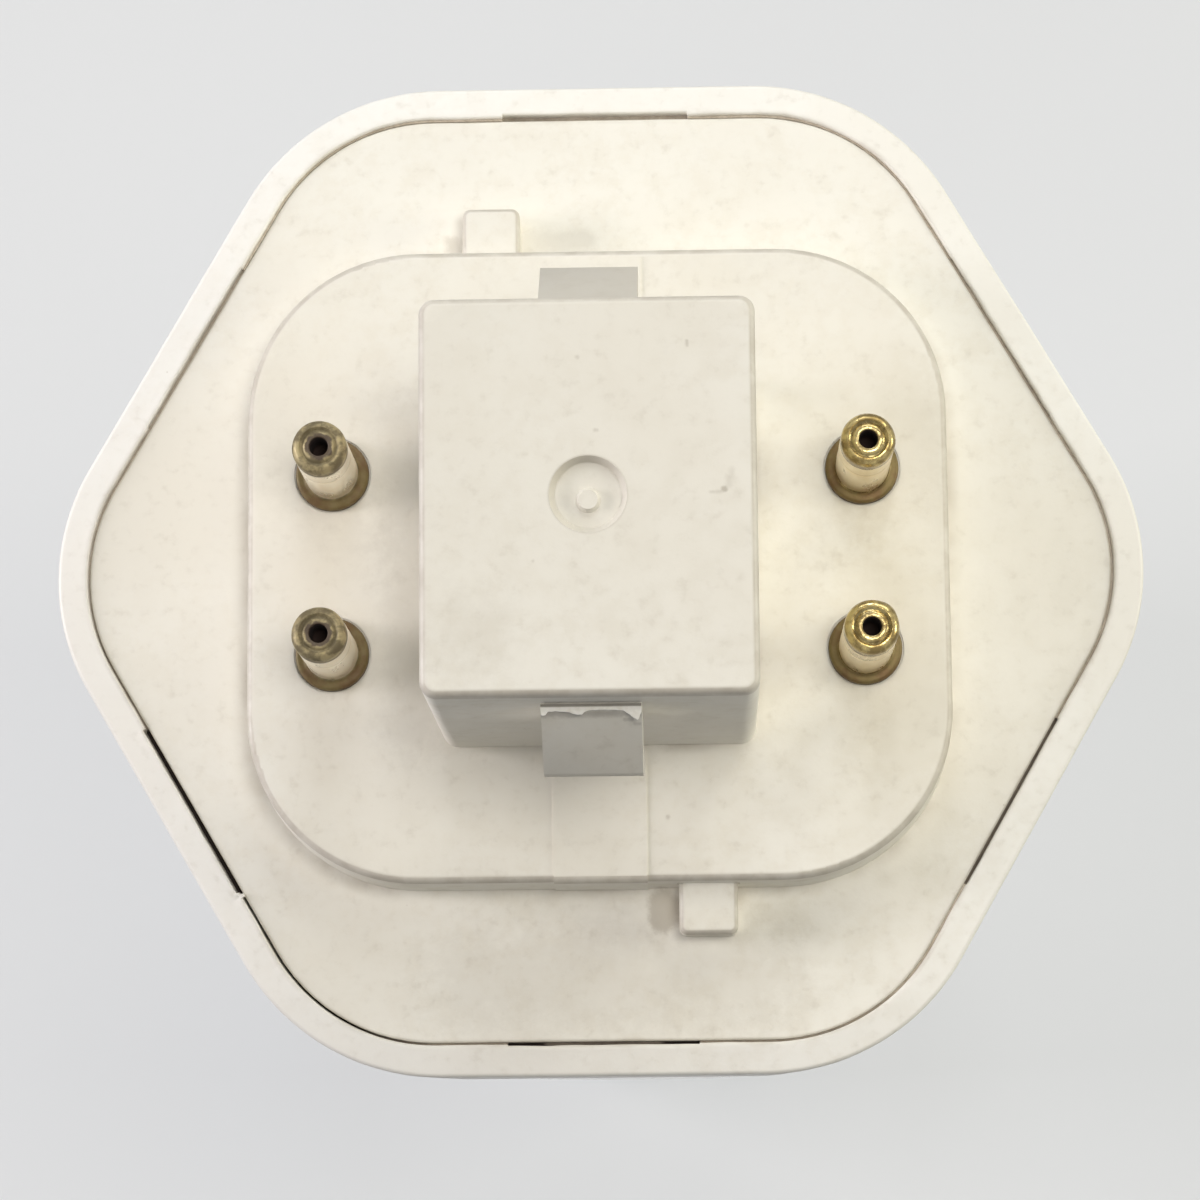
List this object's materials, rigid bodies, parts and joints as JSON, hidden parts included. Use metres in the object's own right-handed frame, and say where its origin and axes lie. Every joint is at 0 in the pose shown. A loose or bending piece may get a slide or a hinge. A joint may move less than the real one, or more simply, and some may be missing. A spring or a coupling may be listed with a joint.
{
  "type": "four-pin compact fluorescent bulb",
  "caption": "Plug-in compact fluorescent bulb: U-bend coated glass legs in a hexagonal cream base, with a latched square post, coding keys and hollow brass pins.",
  "frame": {"origin": "middle of the four pins, on the platform that seats against the lamp holder", "axes": "+Z along the bulb, from the glass towards the pins; +X across the post, from one pair of pins to the other; +Y completes the frame"},
  "size_m": [0.0472, 0.0436, 0.128],
  "materials": {
    "housing_plastic": "fine moulded satin, slightly yellowed",
    "cap_plastic": "fine moulded satin, slightly yellowed",
    "pin_brass": "tarnished drawn brass",
    "coated_glass": "glossy clear glass over a white inner coating",
    "wire": "drawn wire",
    "cement": "matte cast cement"
  },
  "bodies": {
    "root": {"housing": "housing_plastic", "cap": "cap_plastic", "contact_pin_1": "pin_brass", "contact_pin_2": "pin_brass", "contact_pin_3": "pin_brass", "contact_pin_4": "pin_brass", "discharge_tube": "coated_glass", "lead_wire_1": "wire", "lead_wire_2": "wire", "lead_wire_3": "wire", "lead_wire_4": "wire", "tube_cement": "cement"}
  },
  "joints": []
}
